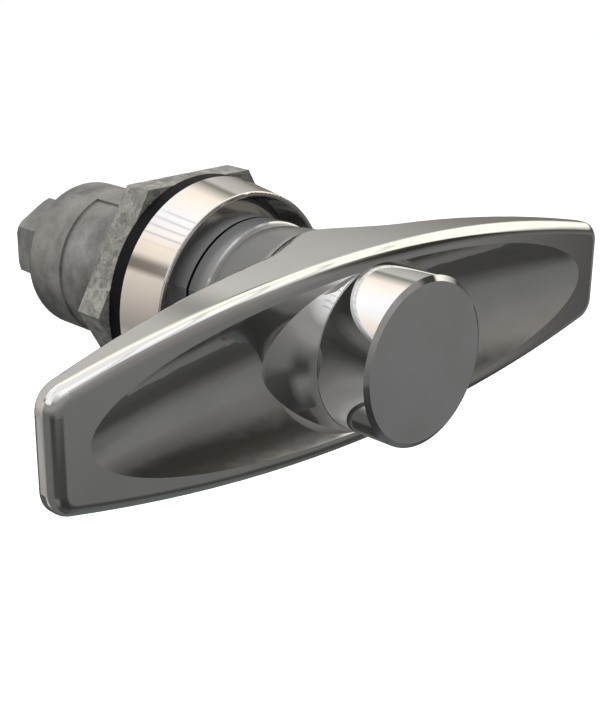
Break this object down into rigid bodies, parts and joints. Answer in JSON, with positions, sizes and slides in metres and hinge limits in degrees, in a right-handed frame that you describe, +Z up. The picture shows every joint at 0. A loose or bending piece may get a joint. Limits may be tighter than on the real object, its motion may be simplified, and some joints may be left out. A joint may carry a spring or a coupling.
{
  "type": "quarter-turn cam latch",
  "caption": "Quarter-turn panel latch with a polished scooped wing handle, round cover button, dished collar, black gasket, thin hexagon nut, plain barrel and hexagon cam tail.",
  "frame": {"origin": "centre of the panel seat: on the latch axis, in the plane of the gasket's back face", "axes": "+Y along the latch axis, from the handle through the panel to the tail; +X along the wing in the closed position; +Z up"},
  "size_m": [0.1, 0.0779, 0.0334],
  "materials": {
    "wing_chrome": "polished",
    "button_chrome": "polished",
    "collar_chrome": "polished",
    "cast_zinc": "dull cast",
    "galvanised_nut": "galvanised, spangled",
    "gasket_rubber": "matt",
    "seal_rubber": "matt",
    "sleeve_bronze": "plain",
    "plain_steel": "plain",
    "spring_steel": "dark",
    "spindle_zinc": "dull zinc"
  },
  "bodies": {
    "fixed": {"housing": "cast_zinc", "collar": "collar_chrome", "panel_gasket": "gasket_rubber", "panel_nut": "galvanised_nut", "hub_seal": "seal_rubber", "stop_pin": "plain_steel", "bearing_front": "sleeve_bronze", "bearing_rear": "sleeve_bronze", "thrust_washer": "plain_steel", "retaining_clip": "spring_steel"},
    "handle": {"wing_handle": "wing_chrome", "cover_button": "button_chrome", "button_oring": "seal_rubber", "handle_screw": "plain_steel", "lock_washer": "spring_steel", "spindle": "spindle_zinc", "spindle_oring_front": "seal_rubber", "spindle_oring_rear": "seal_rubber", "disc_spring": "spring_steel"}
  },
  "joints": [
    {"name": "handle_turn", "type": "hinge", "parent": "fixed", "child": "handle", "pos_m": [0, 0, 0], "axis": [0, 1, 0], "range_deg": [0, 90]}
  ]
}
